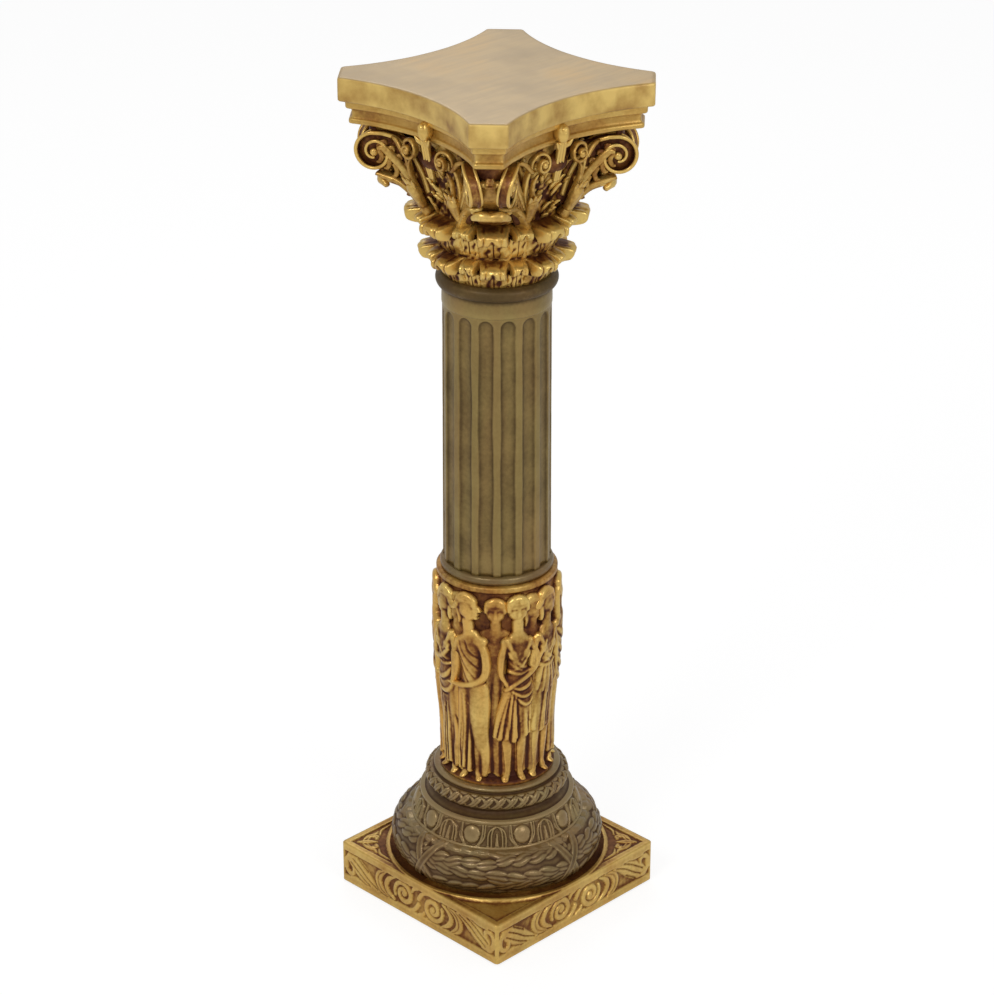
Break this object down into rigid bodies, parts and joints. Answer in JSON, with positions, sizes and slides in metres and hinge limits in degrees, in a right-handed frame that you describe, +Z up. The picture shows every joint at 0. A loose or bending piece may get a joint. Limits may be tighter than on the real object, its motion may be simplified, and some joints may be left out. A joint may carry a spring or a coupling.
{
  "type": "pedestal column stand",
  "caption": "Free-standing classical column pedestal: square plinth, ringed base, figure drum, fluted shaft and leaf-and-scroll capital under a flat hollow-sided top.",
  "frame": {"origin": "centre of the footprint, on the floor under the plinth's pads", "axes": "+Z up the column; X and Y along the plinth's sides, so that its corners lie on the diagonals"},
  "size_m": [0.2544, 0.2544, 0.919],
  "materials": {
    "gilded_resin": "cast resin, gold leaf paint over a red-brown ground, dark glaze in the recesses, satin varnish",
    "rubbed_gilt_top": "cast resin, thin pale gilding rubbed and streaked on the flat top, satin varnish",
    "bronzed_resin": "cast resin, olive bronze paint with a brown glaze, satin varnish",
    "zinc_steel": "zinc plated",
    "plywood": "sawn plywood, unfinished",
    "felt": "pressed felt, dark brown"
  },
  "bodies": {
    "root": {"abacus_moulding": "gilded_resin", "abacus_slab": "rubbed_gilt_top", "calyx_leaf_1": "gilded_resin", "calyx_leaf_2": "gilded_resin", "calyx_leaf_3": "gilded_resin", "calyx_leaf_4": "gilded_resin", "capital_bell": "gilded_resin", "centring_disc_1": "plywood", "centring_disc_2": "plywood", "centring_disc_3": "plywood", "corner_volute_1": "gilded_resin", "corner_volute_2": "gilded_resin", "corner_volute_3": "gilded_resin", "corner_volute_4": "gilded_resin", "cushion_ring": "bronzed_resin", "fascia_ring": "bronzed_resin", "felt_pad_1": "felt", "felt_pad_2": "felt", "felt_pad_3": "felt", "felt_pad_4": "felt", "figure_drum": "gilded_resin", "fleuron_1": "gilded_resin", "fleuron_2": "gilded_resin", "fleuron_3": "gilded_resin", "fleuron_4": "gilded_resin", "fluted_shaft": "bronzed_resin", "helix_pair_1": "gilded_resin", "helix_pair_2": "gilded_resin", "helix_pair_3": "gilded_resin", "helix_pair_4": "gilded_resin", "lower_leaf_1": "gilded_resin", "lower_leaf_2": "gilded_resin", "lower_leaf_3": "gilded_resin", "lower_leaf_4": "gilded_resin", "lower_leaf_5": "gilded_resin", "lower_leaf_6": "gilded_resin", "lower_leaf_7": "gilded_resin", "lower_leaf_8": "gilded_resin", "lower_nut": "zinc_steel", "lower_plate": "zinc_steel", "lower_torus": "bronzed_resin", "lower_washer": "zinc_steel", "neck_collar": "bronzed_resin", "plinth": "gilded_resin", "shaft_foot_ring": "bronzed_resin", "tie_rod": "zinc_steel", "upper_leaf_1": "gilded_resin", "upper_leaf_2": "gilded_resin", "upper_leaf_3": "gilded_resin", "upper_leaf_4": "gilded_resin", "upper_leaf_5": "gilded_resin", "upper_leaf_6": "gilded_resin", "upper_leaf_7": "gilded_resin", "upper_leaf_8": "gilded_resin", "upper_nut": "zinc_steel", "upper_plate": "zinc_steel", "upper_washer": "zinc_steel"}
  },
  "joints": []
}
